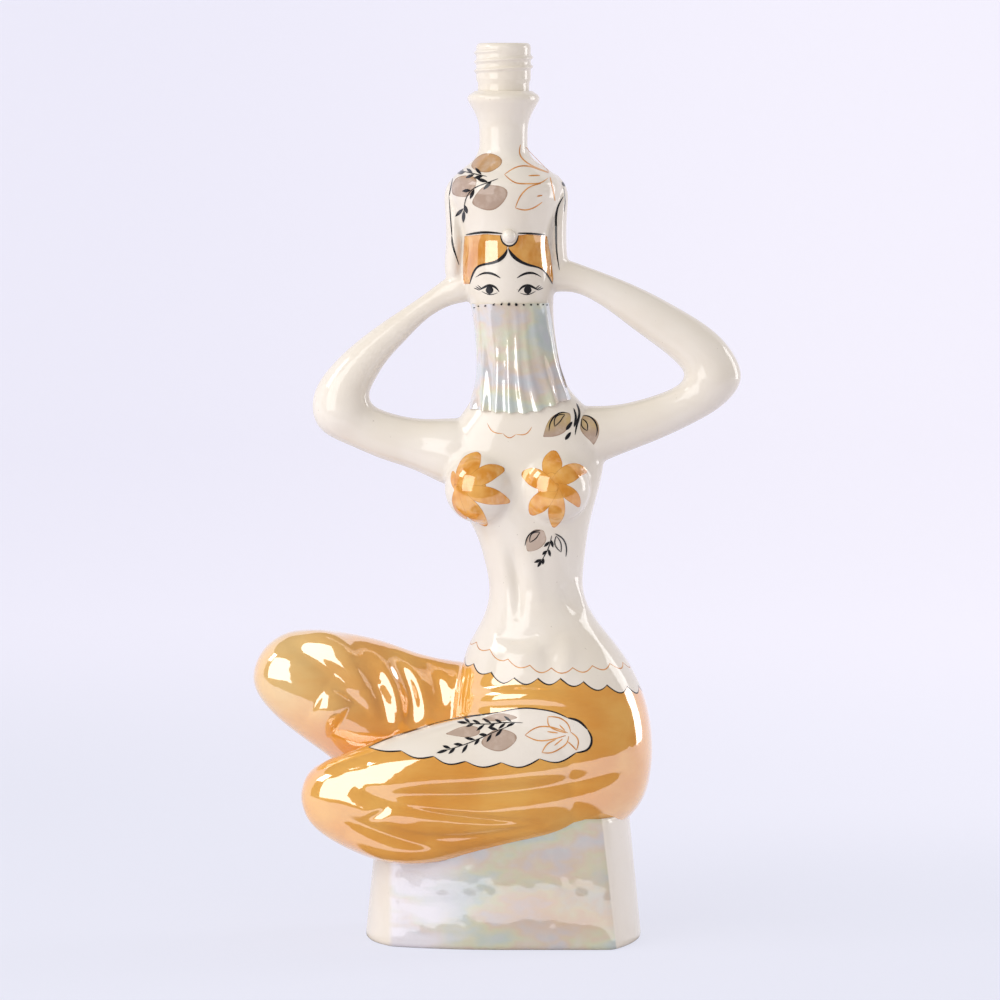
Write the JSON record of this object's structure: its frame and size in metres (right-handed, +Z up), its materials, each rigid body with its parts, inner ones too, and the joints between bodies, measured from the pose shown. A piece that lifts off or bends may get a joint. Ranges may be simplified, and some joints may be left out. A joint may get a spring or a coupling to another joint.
{
  "type": "figural liquor decanter",
  "caption": "Ceramic decanter shaped as a veiled dancer seated cross-legged on a plinth, hands raised to a turban that rises into a screw-finish bottle neck.",
  "frame": {"origin": "on the plinth's underside, below the axis of the bottle's neck", "axes": "+Z up along the neck's axis, +X to the right of someone facing the figure, -Y towards them"},
  "size_m": [0.196, 0.0728, 0.3585],
  "materials": {
    "ivory_glaze": "gloss ivory glaze",
    "amber_lustre": "amber lustre glaze",
    "pearl_lustre": "mother-of-pearl lustre glaze",
    "plinth_glaze": "pearl lustre over ivory glaze, bare underneath"
  },
  "bodies": {
    "root": {"plinth": "plinth_glaze", "hips": "amber_lustre", "near_leg": "amber_lustre", "far_leg": "amber_lustre", "torso": "ivory_glaze", "head": "ivory_glaze", "turban": "ivory_glaze", "bottle_neck": "ivory_glaze", "right_arm": "ivory_glaze", "left_arm": "ivory_glaze", "veil": "pearl_lustre", "turban_pearl": "ivory_glaze"}
  },
  "joints": []
}
